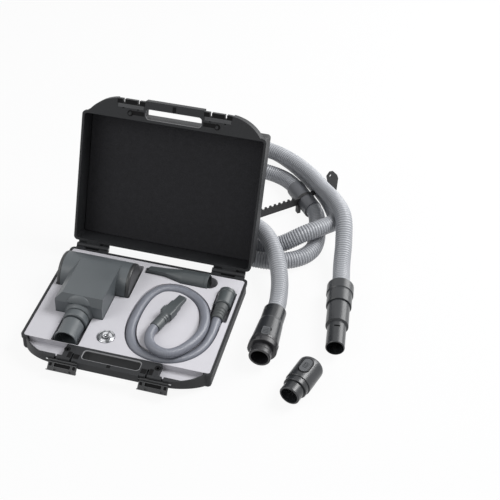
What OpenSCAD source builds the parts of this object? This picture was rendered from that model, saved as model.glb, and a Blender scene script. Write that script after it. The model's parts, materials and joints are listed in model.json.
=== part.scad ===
// Car care accessory kit: a hinged carry case with a foam insert that holds a hand turbo brush, a crevice
// nozzle, a thin detail hose and a metal disc, with a corrugated extension hose and a loose adapter beside it.
// The origin is the centre of the case's bottom face, +X is to the right, +Y runs from the handle to the hinge.

/* [Case] */
// Width of the case
case_w = 400; // [396:1:440]
// Depth of the case between its front and back walls
case_d = 292; // [290:1:320]
// Height of the base tray
base_h = 38; // [37:0.5:42]
// Height of the lid
lid_h = 62; // [60:1:80]
// Thickness of the case walls
wall = 3; // [2:0.5:3.5]
// Radius of the upright corners
corner_r = 9; // [8:1:24]
// Radius of the rounded edge at the bottom of the tray and the top of the lid
edge_r = 6; // [3:1:8]
// Gap between the two rims when the case is shut
parting_gap = 0.4; // [0.3:0.1:1]
// Angle through which the lid opens
lid_open = 110.5; // [95:0.5:115]

/* [Front flange and handle] */
// How far the arched flange stands out from the front wall
flange_d = 37; // [36:1:42]
// Radius of the arch at each end of the flange
arch_r = 88; // [84:1:92]
// Distance from the middle of the case to the centre of each arch
arch_x = 115; // [112:1:118]
// Height of the flange at its front edge, in each half
flange_h = 17; // [15:1:18]
// Width of the hand hole
grip_w = 122; // [100:1:126]
// Depth of the hand hole in the tray from front to back
grip_d = 27; // [24:0.5:29]
// Depth of the hand hole in the lid
lid_grip_d = 23; // [20:0.5:24]
// How far the handle bar stands out beyond the flange
bar_out = 2.5; // [1:0.5:4]
// Depth of the tray recesses beside the handle below the rim
recess_drop = 14.5; // [12:0.5:15]

/* [Latches] */
// Distance from the middle of the case to the middle of each latch
latch_x = 94; // [93:0.5:96]
// Width of a latch
latch_w = 60; // [50:1:62]
// Height of the latch pivot above the bottom of the case
latch_z = 29; // [28:0.5:30]
// Length of a latch from its pivot to its hook
latch_l = 20.4; // [20.4:0.1:22]
// Thickness of the latch plate
latch_t = 2.5; // [2:0.25:3]
// Radius of the latch pins
latch_pin_r = 1.5; // [1:0.1:1.8]
// Angle through which a latch swings down
latch_open = 130; // [110:1:135]

/* [Hinges] */
// Distance from the middle of the case to the middle of each hinge
hinge_x = 154; // [140:1:160]
// Width of a hinge
hinge_w = 72; // [60:1:76]
// Distance from the back wall to the hinge axis
hinge_out = 10; // [9:0.5:12]
// Radius of the hinge knuckles
knuckle_r = 5.5; // [5:0.25:6]
// Radius of the hinge pins
hinge_pin_r = 2; // [1.5:0.1:2.5]
// Radial clearance of a pin in the part that turns on it
pin_fit = 0.05; // [0.03:0.01:0.1]
// Side clearance between knuckles
side_fit = 0.4; // [0.3:0.1:0.8]

/* [Foam] */
// Height of the top of the foam insert
foam_top = 37; // [36:0.5:38]
// Thickness of the foam pad in the lid
lid_foam_t = 8; // [4:1:9]
// Clearance between the foam and what lies in it
foam_fit = 1; // [0.8:0.1:1.5]

/* [Turbo brush] */
// Width of the brush head
head_w = 160; // [154:1:168]
// Radius of the rounded brush head
head_r = 44; // [42:0.5:45]
// Height of the axis of the rounded head
head_z = 38; // [37:0.5:39]
// Width of the air box in front of the head
box_w = 102; // [96:1:106]
// Distance from the head axis to the front of the air box
box_l = 121; // [116:1:124]
// Thickness of the brush housing
shell_t = 2.5; // [2:0.25:3]
// Radius of the brush roller without bristles
roller_r = 11; // [9:0.5:12]
// Length of the bristles
bristle_l = 7; // [5:0.5:8]
// Radius of the turbine wheel
turbine_r = 21; // [18:0.5:22]
// Number of turbine blades
blades = 14; // [10:1:18]
// Radius of the ball that the neck tilts on
ball_r = 28; // [26:0.5:29]
// Radius of the swivel sleeve
sleeve_r = 24; // [22.5:0.5:25]
// Radius of the bore that takes the suction hose
sleeve_bore = 17.6; // [16:0.1:18.5]
// Length of the swivel sleeve
sleeve_l = 47; // [45:1:48]

/* [Crevice nozzle] */
// Radius of the nozzle socket
crevice_r = 20; // [19:0.5:20.5]
// Radius of the bore in the nozzle socket
crevice_bore = 17.6; // [16:0.1:18]
// Length of the nozzle socket
crevice_socket_l = 56; // [50:1:60]
// Length of the nozzle from its tip to its mouth
crevice_l = 141; // [130:1:142]
// Width of the flat part where it leaves the round part
flat_w = 15; // [13:0.5:18]
// Height of the flat part where it leaves the round part
flat_h = 26; // [22:1:30]

/* [Detail hose] */
// Outside radius of the thin hose
thin_r = 10; // [10:0.1:10.2]
// Radius of the cuff on the thin hose
cuff_r = 18; // [17:0.25:18.5]
// Length of the cuff
cuff_l = 44; // [40:1:52]
// Radius of the bore in the cuff
cuff_bore = 15.6; // [14:0.1:16]
// Width of the small nozzle's body
detail_w = 30; // [26:1:32]
// Length of the small nozzle
detail_l = 106; // [98:1:108]

/* [Disc] */
// Radius of the metal disc
disc_r = 18; // [16:0.5:20]
// Thickness of the metal disc
disc_t = 4; // [3:0.25:5]

/* [Extension hose] */
// Outside radius of the corrugated hose
hose_r = 18.5; // [18:0.1:18.6]
// Radius of the collar on the locking end
collar_r = 30; // [28:0.5:31]
// Radius of the spigot on the locking end
spigot_r = 22.4; // [20:0.1:23]
// Radius of the narrow end of the stepped end
step_r = 19.4; // [18:0.1:20]
// Radius of the smooth coupling in the hose
coupling_r = 21.3; // [20.5:0.1:21.5]
// Length of the coupling
coupling_l = 92; // [84:1:96]
// Width of the strap's link
strap_w = 14; // [10:1:16]

/* [Adapter] */
// Radius of the adapter's body
adapter_r = 26.5; // [25:0.5:28]
// Length of the adapter's body
adapter_l = 60; // [54:1:64]
// Radius of the adapter's spigot
adapter_spigot_r = 21; // [19:0.1:22]

/* [Hidden] */
$fn = 48;
eps = 0.01;

// Case
front_y = -case_d / 2;
back_y = case_d / 2;
hinge_y = back_y + hinge_out;
lid_top = base_h + lid_h;
knuckle_l = (hinge_w - hinge_w * 0.44) / 2;
arch_y = front_y + arch_r - flange_d;
recess_x = 99;
recess_end = 190;
recess_y = front_y - flange_d + 9;
recess_z = base_h - recess_drop - 4;
pivot_y = front_y - flange_d + 1;
catch_h = latch_z + latch_l - base_h - 0.4;
slot_x = 16;
slot_w = 4;
slot_l = 20;
peg_r = 3;
peg_y = front_y - 9;
peg_l = 5;

// Brush, with X along the head and Y from the air box to the back of the head
head_x = 13 + head_w / 2 - case_w / 2;
head_y = front_y + 211;
sole_t = 3;
sole_z = 10;
cap_t = 8;
axle_r = 3;
bush_r = 6;
bush_w = 5;
press_fit = 0.02;
window_w = head_w - 34;
box_y = head_y - box_l;
box_top = 84;
neck_y = box_y + 12;
neck_z = 38;
neck_end = neck_y - 44;
roller_y = head_y + 12;
roller_z = sole_z + roller_r + bristle_l - 3;
swivel_r = 15;
neck_r = 19;
neck_bore = 13;
mouth_l = 16;
tilt_room = 4;
trunnion_r = 4;
screw_r = 1.4;
screw_l = 11;
screw_head_r = 3;
screw_head_t = 1.6;
turbine_y = head_y - 29;
turbine_z = 54;
turbine_w = 36;
belt_x = head_x - head_w / 2 + 12;
belt_w = 6;
small_pulley_r = 5;
big_pulley_r = 10;
belt_t = 1.6;
belt_gap = 0.3;

// Crevice nozzle along X
crevice_x = head_x + head_w / 2 + 8 + crevice_l;
crevice_y = back_y - 30;
crevice_z = foam_top - 3;
tip_x = crevice_x - crevice_l;
flat_x = crevice_socket_l + 40;

// Detail hose
stretch_x = case_w / 400;
stretch_y = case_d / 292;
cuff_x = 168 * stretch_x;
cuff_y = crevice_y - crevice_r;
thin_neck_l = 42;
thin_neck_y = cuff_y - cuff_l - thin_neck_l;
cuff_z = foam_top - 1;
nozzle_z = foam_top + 11.5;
nozzle_at = [57 * stretch_x, -59 * stretch_y, nozzle_z];
nozzle_a = 74;
coil = [[54, -68, nozzle_z], [54, -85, 48], [61, -104, 50], [78, -120, 52], [102, -125, 52], [123, -111, 51],
    [140, -84, 50], [149, -52, 46], [149, -16, 41], [141, 18, 37], [126, 46, 34], [104, 66, 32], [77, 78, 31.5],
    [50, 78, 31.5], [28, 67, 31.5], [13, 42, 31.5], [6, 10, 31.5], [4, -24, 31.5], [6, -56, 31.5],
    [15, -86, 31.5], [33, -111, 31.5], [60, -124, 31.5], [92, -127, 31.5], [122, -118, 31.5],
    [146, -98, 31.5], [161, -70, 31.5], [167, -38, 32]];
thin_route = concat([nozzle_at + 5.4 * [cos(nozzle_a), sin(nozzle_a), 0]],
    [for (p = coil) [p[0] * stretch_x, p[1] * stretch_y, p[2]]],
    [[cuff_x, thin_neck_y - 18, 34], [cuff_x, thin_neck_y + 8, cuff_z]]);
groove_z = 21;

// Disc
disc_x = -33 * stretch_x;
disc_y = -100 * stretch_y;

// Extension hose: the route of its centre line, from the locking end to the stepped end
turn_step = 24;
floor_z = 19;
coil_top = [54, 516];
coil_top_r = 150;
coil_inner = [70, 428];
coil_inner_r = 148;
coil_outer = [64, 426];
coil_outer_r = 188;
function turn(c, r, a0, a1, z0, z1) = let (n = ceil(abs(a1 - a0) / turn_step))
    [for (i = [0 : n]) let (a = a0 + (a1 - a0) * i / n)
        [c[0] + r * cos(a), c[1] + r * sin(a), z0 + (z1 - z0) * i / n]];
hose_route = concat(
    [[275.5, 64, 31.5], [275.5, 80, 31.5], [274, 110, 32], [266, 156, 40], [251, 200, 53], [230, 240, 63],
        [202, 278, 65], [166, 310, 58], [122, 338, 50]],
    turn(coil_top, coil_top_r, 262, 214, 46, 60),
    turn(coil_top, coil_top_r, 196, 155, 64, 61),
    [[-68, 603, 58], [-46, 629, 52], [-14, 651, 36], [20, 664, 23], [62, 667, 19], [106, 660, 19],
        [156, 640, 19], [208, 602, 19], [256, 554, 19], [298, 504, 19], [328, 450, 21], [340, 396, 38],
        [325, 344, 60], [286, 306, 59], [236, 284, 34], [184, 280, 19]],
    turn(coil_inner, coil_inner_r, 270, 68, floor_z, floor_z),
    [[180, 551, 19], [216.5, 522.4, 22.5], [253.5, 475.7, 22.5], [289.2, 430.7, 22.5], [303, 380, 20],
        [310, 340, 19], [306, 300, 19], [282, 266, 19], [234, 242, 19], [178, 238, 19]],
    turn(coil_outer, coil_outer_r, 270, 114, floor_z, floor_z),
    [[40, 615, 24], [96, 614, 44], [152, 598, 54], [206, 568, 56], [254, 526, 58], [296, 472, 64],
        [332, 414, 80], [361, 362, 80], [374, 308, 56], [381, 256, 35], [388, 214, 28.5], [391.7, 184, 28.5]]);

// Coupling in the hose's second coil
coupling_at = [224, 513, 22.5];
coupling_a = 308.4;

// Locking end of the extension hose, along -Y
lock_x = 275.5;
lock_y = 74;
lock_z = collar_r + 1.5;
lock_sleeve_l = 104;
lock_collar_l = 13;
lock_spigot_l = 22;
lock_button_x = 89;
hose_bore = 17.5;
slip = 0.3;

// Stepped end of the extension hose
stepped_at = [391, 190, 28.5];
stepped_a = 7;
step_l = [28, 36, 60, 61];

// Adapter on the floor
adapter_at = [379, -53, adapter_r + 0.5];
adapter_a = 16;

module plate(w, d, h, r) {
    linear_extrude(h) {
        square([w - 2 * r, d], center = true);
        square([w, d - 2 * r], center = true);
        for (x = [-1, 1], y = [-1, 1])
            translate([x * (w / 2 - r), y * (d / 2 - r)]) circle(r);
    }
}

// A box whose lower edge is rounded in steps
module soft_box(w, d, h, r, edge) {
    hull() {
        for (a = [0, 30, 60])
            translate([0, 0, edge * (1 - cos(a))])
                plate(w - 2 * edge * (1 - sin(a)), d - 2 * edge * (1 - sin(a)), 0.5, r);
        translate([0, 0, edge]) plate(w, d, h - edge, r);
    }
}

module rod(r, l) { rotate([0, 90, 0]) cylinder(r = r, h = l, center = true); }

// Outline of the front flange with its two arched ends and the handle bar
module arch_2d(inset = 0) {
    intersection() {
        union() {
            for (x = [-arch_x, arch_x]) translate([x, arch_y]) circle(arch_r - inset);
            translate([-arch_x, front_y - flange_d + inset]) square([2 * arch_x, flange_d + wall]);
        }
        translate([-case_w / 2 + 2 + inset, front_y - flange_d - 1])
            square([case_w - 4 - 2 * inset, flange_d + wall + 1]);
    }
    if (inset == 0)
        translate([-grip_w / 2 - 2, front_y - flange_d - bar_out]) square([grip_w + 4, flange_d]);
}

// Half of the flange: flat at the rim, sloping back to the wall away from it
module flange(depth) {
    intersection() {
        linear_extrude(depth) arch_2d();
        translate([-case_w / 2, 0, 0]) rotate([90, 0, 90]) linear_extrude(case_w)
            polygon([[front_y + wall, 0], [front_y - flange_d - 5, 0], [front_y - flange_d - 5, flange_h],
                [front_y - flange_d + 9, flange_h + 4], [front_y, depth - 4], [front_y + wall, depth - 4]]);
    }
}

// Recess beside the handle, joined to the inside of the tray
module recess_2d(s, inset) {
    mirror([s < 0 ? 1 : 0, 0]) intersection() {
        union() {
            arch_2d(3 + inset);
            translate([recess_x, front_y - 1]) square([recess_end - recess_x - 8, wall + 7]);
        }
        translate([recess_x + inset, recess_y + inset])
            square([recess_end - recess_x - 2 * inset, front_y + wall + 6 - recess_y]);
    }
}

module grip_hole(d, h) {
    translate([0, front_y - 0.5 - d / 2, -1]) plate(grip_w, d, h + 2, 8);
}

module hinge_knuckle(l, up) {
    difference() {
        union() {
            rod(knuckle_r, l);
            translate([-l / 2, -hinge_out - wall + eps, up ? 0 : -knuckle_r - 2])
                cube([l, hinge_out + wall, knuckle_r + 2]);
        }
        rod(hinge_pin_r + pin_fit, l + 1);
    }
}

module base_shell() {
    color("#2b2c2e") difference() {
        union() {
            soft_box(case_w - 4, case_d - 4, base_h, corner_r - 2, edge_r);
            translate([0, 0, base_h - 7]) plate(case_w, case_d, 7, corner_r);
            translate([0, 0, base_h]) mirror([0, 0, 1]) flange(base_h - 2);
            for (x = [-hinge_x, hinge_x], s = [-1, 1])
                translate([x + s * (hinge_w - knuckle_l) / 2, hinge_y, base_h]) hinge_knuckle(knuckle_l, false);
        }
        translate([0, 0, wall]) plate(case_w - 2 * wall - 4, case_d - 2 * wall - 4, base_h, corner_r - wall);
        grip_hole(grip_d, base_h);
        for (s = [-1, 1]) {
            translate([0, 0, recess_z]) linear_extrude(base_h) recess_2d(s, 0);
            latch_seat(s, base_h);
            translate([s * latch_x, pivot_y, latch_z]) {
                rod(latch_pin_r + pin_fit, latch_w + 11);
                translate([-latch_w / 2 - side_fit, -8, -8]) cube([latch_w + 2 * side_fit, 12.5, 13]);
            }
            translate([s * latch_x, peg_y, base_h - peg_l - 2]) cylinder(r = peg_r + 0.4, h = peg_l + 3);
        }
    }
}

// Two slots through the flange that the latch's ribs reach into
module latch_seat(s, z) {
    for (x = [-slot_x, slot_x])
        translate([s * latch_x + x - slot_w / 2, front_y - flange_d - 1, z - 6])
            cube([slot_w, slot_l + 1, 12]);
}

// The lower part of the thin hose's route as a channel outline
module groove_2d(r) {
    for (i = [0 : len(thin_route) - 2]) {
        p = thin_route[i];
        q = thin_route[i + 1];
        if (min(p[2], q[2]) < foam_top + thin_r) translate([p[0], p[1]]) {
            circle(r);
            rotate(atan2(q[1] - p[1], q[0] - p[0])) translate([0, 0.3 - r])
                square([norm([q[0] - p[0], q[1] - p[1]]), 2 * r - 0.6]);
        }
    }
}

module crevice_pocket_2d() {
    tip = flat_w / 2 + foam_fit;
    mouth = crevice_r + foam_fit;
    narrow_x = crevice_x - flat_x;
    wide_x = crevice_x - crevice_socket_l;
    polygon([[tip_x - foam_fit, -tip], [narrow_x, -tip - 0.5], [wide_x, -mouth], [crevice_x + foam_fit, -mouth],
        [crevice_x + foam_fit, mouth], [wide_x, mouth], [narrow_x, tip + 0.5], [tip_x - foam_fit, tip]]);
}

module base_foam() {
    top = foam_top + 1;
    color("#dcdbe0") difference() {
        union() {
            translate([0, 0, wall])
                plate(case_w - 2 * wall - 5, case_d - 2 * wall - 5, foam_top - wall, corner_r - wall - 0.5);
            for (s = [-1, 1]) translate([0, 0, recess_z]) linear_extrude(4) recess_2d(s, 0.4);
        }
        // Brush head, air box and sleeve
        translate([head_x, head_y + 8, 6]) plate(head_w + 2 * foam_fit + 2, 2 * head_r + 18, top, 4);
        translate([head_x, (box_y - foam_fit + head_y) / 2, 8])
            plate(box_w + 2 * foam_fit, head_y - box_y + foam_fit, top, 2);
        translate([head_x, (box_y + 3 + neck_end - sleeve_l - tilt_room) / 2, neck_z - sleeve_r - 4])
            plate(2 * sleeve_r + 11, box_y + 3 - neck_end + sleeve_l + tilt_room, top, 2);
        // Crevice nozzle with a finger recess at its mouth
        translate([0, crevice_y, crevice_z - crevice_r + 0.3]) linear_extrude(top) crevice_pocket_2d();
        translate([crevice_x + 1, crevice_y - 1, 10]) cylinder(r = 18, h = top);
        // Detail hose: a channel along it, and a hollow for the cuff
        translate([0, 0, groove_z]) linear_extrude(top) groove_2d(thin_r + 2.5);
        translate([cuff_x, cuff_y + 2 - (cuff_l + 48) / 2, 15]) plate(2 * cuff_r + 5, cuff_l + 48, top, 3);
        translate([cuff_x, cuff_y, 15]) cylinder(r = cuff_r - 2, h = top);
        // Disc
        translate([disc_x, disc_y, foam_top - 2]) cylinder(r = disc_r + foam_fit, h = 5);
    }
}

module hinge_pins() {
    color("#8c8f92")
        for (x = [-hinge_x, hinge_x]) translate([x, hinge_y, base_h]) rod(hinge_pin_r, hinge_w);
}

module latch_pins() {
    color("#8c8f92")
        for (x = [-latch_x, latch_x]) translate([x, pivot_y, latch_z]) rod(latch_pin_r, latch_w + 10);
}

// The lid is drawn shut and then swung open about the hinge
module opened() {
    translate([0, hinge_y, base_h]) rotate([-lid_open, 0, 0]) translate([0, -hinge_y, -base_h]) children();
}

module lid_shell() {
    rim = base_h + parting_gap;
    lid_knuckle = hinge_w - 2 * knuckle_l - 2 * side_fit;
    color("#2b2c2e") opened() difference() {
        union() {
            translate([0, 0, lid_top]) mirror([0, 0, 1])
                soft_box(case_w - 4, case_d - 4, lid_h - parting_gap, corner_r - 2, edge_r);
            translate([0, 0, rim]) plate(case_w, case_d, 7, corner_r);
            translate([0, 0, rim]) flange(lid_h - 34);
            for (x = [-hinge_x, hinge_x]) translate([x, hinge_y, base_h]) hinge_knuckle(lid_knuckle, true);
            for (x = [-latch_x, latch_x]) translate([x, peg_y, base_h - peg_l])
                cylinder(r = peg_r, h = peg_l + 1);
        }
        translate([0, 0, rim - 1])
            plate(case_w - 2 * wall - 4, case_d - 2 * wall - 4, lid_h - wall + 1 - parting_gap,
                corner_r - wall);
        translate([0, 0, base_h]) grip_hole(lid_grip_d, lid_h);
        for (s = [-1, 1]) {
            latch_seat(s, rim + 5);
            // The hook of the latch lies in this step
            translate([s * latch_x - latch_w / 2 - 1, front_y - flange_d - 1, base_h + catch_h])
                cube([latch_w + 2, 12, lid_h]);
        }
    }
}

module lid_foam() {
    color("#3a3a3d") opened()
        translate([0, 0, lid_top - wall - lid_foam_t])
            plate(case_w - 2 * wall - 6, case_d - 2 * wall - 6, lid_foam_t, corner_r - wall - 1);
}

// A latch is drawn shut, standing on its pivot, and then swung down
module latch(s) {
    face = -5;
    color("#1f2022") translate([s * latch_x, pivot_y, latch_z]) rotate([latch_open, 0, 0]) difference() {
        union() {
            rod(3, latch_w);
            // Plate with a curved finger lip, in profile
            translate([-latch_w / 2, 0, 0]) rotate([90, 0, 90]) linear_extrude(latch_w)
                polygon([[face, 0], [0, -1], [0, 1.5], [face + latch_t, 4], [face + latch_t, latch_l],
                    [4.5, latch_l], [4.5, latch_l + 1.8], [-4, latch_l + 1.8], [-6.5, latch_l + 0.4],
                    [-8, latch_l - 2.6], [-6.9, latch_l - 3.2], [face, latch_l - 2]]);
            for (x = [-slot_x, slot_x])
                translate([x - 1.4, face + latch_t - 0.1, latch_l - 3]) cube([2.8, 6, 3.1]);
        }
        rod(latch_pin_r + pin_fit, latch_w + 1);
        // Finger window in the plate
        translate([0, face, latch_l * 0.47]) cube([34, 8, 7], center = true);
    }
}

module latch_left() { latch(-1); }
module latch_right() { latch(1); }

// A round solid along +X from its outline of radius and distance
module lathe(points) { rotate([0, 90, 0]) rotate_extrude() polygon(points); }

// Puts a piece drawn along +X at a place, turned to a heading
module aimed(at, heading) { translate(at) rotate([0, 0, heading]) children(); }

module along_x(x, w) { translate([x - w / 2, 0, 0]) rotate([90, 0, 90]) linear_extrude(w) children(); }

module head_2d(inset, bottom) {
    intersection() {
        union() {
            translate([head_y, head_z]) circle(head_r - inset);
            translate([head_y - head_r + inset, bottom]) square([2 * (head_r - inset), head_z - bottom]);
        }
        translate([head_y - head_r, bottom]) square(2 * head_r);
    }
}

// The air box has a front that leans back at the top and one broken edge
module air_box(inset, bottom) {
    difference() {
        along_x(head_x, box_w - 2 * inset) polygon([[head_y, bottom], [head_y, box_top - inset],
            [box_y + 9 + inset, box_top - inset], [box_y + inset, box_top - 18], [box_y + inset, bottom]]);
        translate([head_x - box_w / 2, 0, box_top]) rotate([0, 45, 0])
            cube([20 + 2 * inset, 4 * box_l, 20 + 2 * inset], center = true);
    }
}

sole_top = sole_z + sole_t;
screw_at = [[-box_w / 2 + 8, box_y + 8], [box_w / 2 - 8, box_y + 8],
    [cap_t + 10 - head_w / 2, head_y - head_r + 8], [head_w / 2 - cap_t - 10, head_y - head_r + 8]];

module brush_housing() {
    rib_x = turbine_w / 2 + 3;
    cheek_x = ball_r + 1;
    color("#33373a") difference() {
        union() {
            difference() {
                union() {
                    along_x(head_x, head_w - 2 * cap_t) head_2d(0, sole_top);
                    air_box(0, sole_top);
                }
                along_x(head_x, head_w) head_2d(shell_t, sole_top - 1);
                air_box(shell_t, sole_top - 1);
                // Socket of the ball
                translate([head_x, neck_y, neck_z]) sphere(ball_r + 0.4);
            }
            // Ribs for the turbine bearings and cheeks for the trunnions
            for (s = [-1, 1]) {
                translate([head_x + s * (rib_x + 1.5) - 1.5, turbine_y - 10, turbine_z - 10])
                    cube([3, 20, box_top - shell_t - turbine_z + 10.5]);
                translate([head_x + s * (cheek_x + 1.75) - 1.75, box_y + 1, sole_top])
                    cube([3.5, neck_y - box_y + 8, neck_z - sole_top + 14]);
            }
            for (p = screw_at) translate([head_x + p[0] - 4, p[1] - 6.5, sole_top]) cube([8, 10.5, 14]);
        }
        for (s = [-1, 1]) {
            translate([head_x + s * (rib_x + 1.5), turbine_y, turbine_z]) rod(bush_r + press_fit, 5);
            translate([head_x + s * (cheek_x + 1.75), neck_y, neck_z]) rod(trunnion_r + pin_fit, 5);
        }
        for (p = screw_at) translate([head_x + p[0], p[1], sole_top - 1])
            cylinder(r = screw_r + 0.1, h = screw_l + 1);
    }
}

module brush_end_cap(s) {
    color("#2f3335") translate([head_x + s * (head_w / 2 - cap_t), 0, 0]) mirror([s < 0 ? 1 : 0, 0, 0])
        difference() {
            union() {
                difference() {
                    along_x(cap_t / 2, cap_t) head_2d(0, sole_z);
                    along_x(cap_t / 2 - 3, cap_t) head_2d(shell_t, sole_top);
                }
                translate([cap_t / 2 - 0.5, roller_y, roller_z]) rod(bush_r + 2.5, cap_t - 2);
            }
            translate([cap_t / 2 - 3, roller_y, roller_z]) rod(bush_r + press_fit, cap_t);
        }
}

module brush_end_cap_left() { brush_end_cap(-1); }
module brush_end_cap_right() { brush_end_cap(1); }

module brush_sole() {
    w = head_w - 2 * cap_t;
    color("#2c2f31") difference() {
        translate([head_x, 0, sole_z]) union() {
            translate([-w / 2, head_y - head_r, 0]) cube([w, 2 * head_r, sole_t]);
            translate([-box_w / 2, box_y, 0]) cube([box_w, box_l, sole_t]);
        }
        translate([head_x - window_w / 2, roller_y - roller_r - bristle_l - 1, sole_z - 1])
            cube([window_w, 2 * (roller_r + bristle_l + 1), sole_t + 2]);
        translate([head_x, neck_y, neck_z]) sphere(ball_r + 0.4);
        for (p = screw_at) translate([head_x + p[0], p[1], sole_z - 1]) {
            cylinder(r = screw_r + 0.1, h = sole_t + 2);
            cylinder(r = screw_head_r + 0.2, h = screw_head_t + 0.6);
        }
    }
}

module sole_screws() {
    color("#9a9da0") for (p = screw_at) translate([head_x + p[0], p[1], sole_z - 0.4]) difference() {
        union() {
            cylinder(r = screw_head_r, h = screw_head_t);
            cylinder(r = screw_r, h = screw_l);
        }
        for (a = [0, 90]) rotate(a)
            cube([1.2 * screw_head_r, screw_head_r / 4, 0.8 * screw_head_t], center = true);
    }
}

module bush(at, w) {
    translate(at) difference() {
        rod(bush_r, w);
        rod(axle_r + pin_fit, w + 1);
    }
}

module roller_bushes() {
    color("#b08a4a") for (s = [-1, 1])
        bush([head_x + s * (head_w / 2 - 3 - bush_w / 2), roller_y, roller_z], bush_w);
}

module turbine_bearings() {
    color("#b08a4a") for (s = [-1, 1])
        bush([head_x + s * (turbine_w / 2 + 4.5), turbine_y, turbine_z], 3);
}

module belt_2d(grow) {
    hull() {
        translate([turbine_y, turbine_z]) circle(small_pulley_r + grow);
        translate([roller_y, roller_z]) circle(big_pulley_r + grow);
    }
}

module drive_belt() {
    color("#1c1c1c") along_x(belt_x, belt_w) difference() {
        belt_2d(belt_gap + belt_t);
        belt_2d(belt_gap);
    }
}

module brush_roller() {
    color("#4a4d50") {
        translate([head_x, roller_y, roller_z]) rod(axle_r, head_w - 7);
        translate([head_x, roller_y, roller_z]) rod(roller_r, window_w - 2);
        translate([belt_x, roller_y, roller_z]) rod(big_pulley_r, belt_w);
    }
}

module roller_bristles() {
    color("#17181a") translate([head_x, roller_y, roller_z]) difference() {
        for (a = [0 : 60 : 300]) rotate([a, 0, 0]) translate([-window_w / 2 + 3, -1.5, roller_r - 2])
            cube([window_w - 6, 3, bristle_l + 2]);
        rod(roller_r, window_w);
    }
}

module turbine_wheel() {
    reach = head_x + turbine_w / 2 + 5.5 - belt_x + belt_w / 2;
    color("#5a5d60") translate([0, turbine_y, turbine_z]) {
        translate([head_x, 0, 0]) {
            rod(7, turbine_w);
            for (s = [-1, 1]) translate([s * (turbine_w - 1.5) / 2, 0, 0]) rod(turbine_r, 1.5);
            for (i = [0 : blades - 1]) rotate([i * 360 / blades, 0, 0])
                translate([-turbine_w / 2 + 0.5, -0.7, 6]) cube([turbine_w - 1, 1.4, turbine_r - 7]);
        }
        translate([belt_x - belt_w / 2 + reach / 2, 0, 0]) rod(axle_r, reach);
        translate([belt_x, 0, 0]) rod(small_pulley_r, belt_w);
    }
}

module neck_elbow() {
    shoulder = neck_y - neck_end - side_fit;
    color("#303437") aimed([head_x, neck_y, neck_z], 270) difference() {
        union() {
            sphere(ball_r);
            lathe([[0, 0], [neck_r, 0], [neck_r, shoulder], [swivel_r, shoulder], [swivel_r, shoulder + 13],
                [0, shoulder + 13]]);
            rotate(90) rod(trunnion_r, 2 * ball_r + 9);
        }
        rod(neck_bore, 4 * ball_r + 30);
    }
}

module neck_ring() {
    color("#3b3f42") aimed([head_x, neck_y, neck_z], 270)
        lathe([[neck_r + press_fit, 21], [24, 21], [26, 23], [26, 38], [24, 40], [neck_r + press_fit, 40]]);
}

module swivel_sleeve() {
    color("#34383b") aimed([head_x, neck_end, neck_z], 270)
        lathe([[swivel_r + pin_fit, 0], [sleeve_r - 2, 0], [sleeve_r - 1, 1], [sleeve_r - 1.4, sleeve_l - 7],
            [sleeve_r, sleeve_l - 6], [sleeve_r, sleeve_l - 1], [sleeve_r - 0.7, sleeve_l],
            [sleeve_r - 1.7, sleeve_l], [sleeve_r - 3, sleeve_l - 1.5], [sleeve_r - 3, sleeve_l - mouth_l],
            [sleeve_bore, sleeve_l - mouth_l], [sleeve_bore, 14], [swivel_r + pin_fit, 14]]);
}

// A thin upright slice of the flat part of the crevice nozzle
module slice(x, w, h) { translate([x, -w / 2, -h / 2]) cube([1, w, h]); }

module crevice_nozzle() {
    skin = 2;
    color("#34383b") aimed([crevice_x, crevice_y, crevice_z], 180) difference() {
        union() {
            lathe([[0, 0], [crevice_r - 1, 0], [crevice_r, 1], [crevice_r, 7], [crevice_r - 0.6, 8],
                [crevice_r - 0.6, crevice_socket_l], [0, crevice_socket_l]]);
            hull() {
                translate([crevice_socket_l - 0.5, 0, 0]) rod(crevice_r - 0.8, 1);
                slice(flat_x, flat_w, flat_h);
            }
            hull() {
                slice(flat_x, flat_w, flat_h);
                slice(crevice_l - 1, flat_w - 3, flat_h - 4);
            }
        }
        translate([-1, 0, 0]) lathe([[0, 0], [crevice_bore, 0], [crevice_bore, crevice_socket_l - 5],
            [0, crevice_socket_l - 5]]);
        hull() {
            translate([crevice_socket_l - 6, 0, 0]) rod(crevice_r - 4, 2);
            slice(flat_x, flat_w - 2 * skin, flat_h - 2 * skin);
        }
        hull() {
            slice(flat_x, flat_w - 2 * skin, flat_h - 2 * skin);
            slice(crevice_l, flat_w - 3 - 2 * skin, flat_h - 4 - 2 * skin);
        }
        translate([crevice_l, 0, 0]) rotate([0, -40, 0]) translate([0, -20, -40]) cube([30, 40, 60]);
    }
}

// A ring of points about one place of a route, and the tube through all the rings
function unit(v) = v / norm(v);
function heading(p, i) = unit(p[min(i + 1, len(p) - 1)] - p[max(i - 1, 0)]);
function ring(p, i, r, n) = let (d = heading(p, i), u = unit(cross([0, 0, 1], d)), v = cross(d, u))
    [for (k = [0 : n - 1]) p[i] + r * cos(360 * k / n) * u + r * sin(360 * k / n) * v];

module tube(p, r, n) {
    m = len(p);
    polyhedron(
        points = [for (i = [0 : m - 1]) each ring(p, i, r, n)],
        faces = concat([[for (k = [0 : n - 1]) k]], [[for (k = [n - 1 : -1 : 0]) (m - 1) * n + k]],
            [for (i = [0 : m - 2], k = [0 : n - 1]) let (a = i * n + k, b = i * n + (k + 1) % n)
                [a, a + n, b + n, b]]));
}

module thin_hose() { color("#a9a6b4") tube(thin_route, thin_r, 10); }

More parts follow.
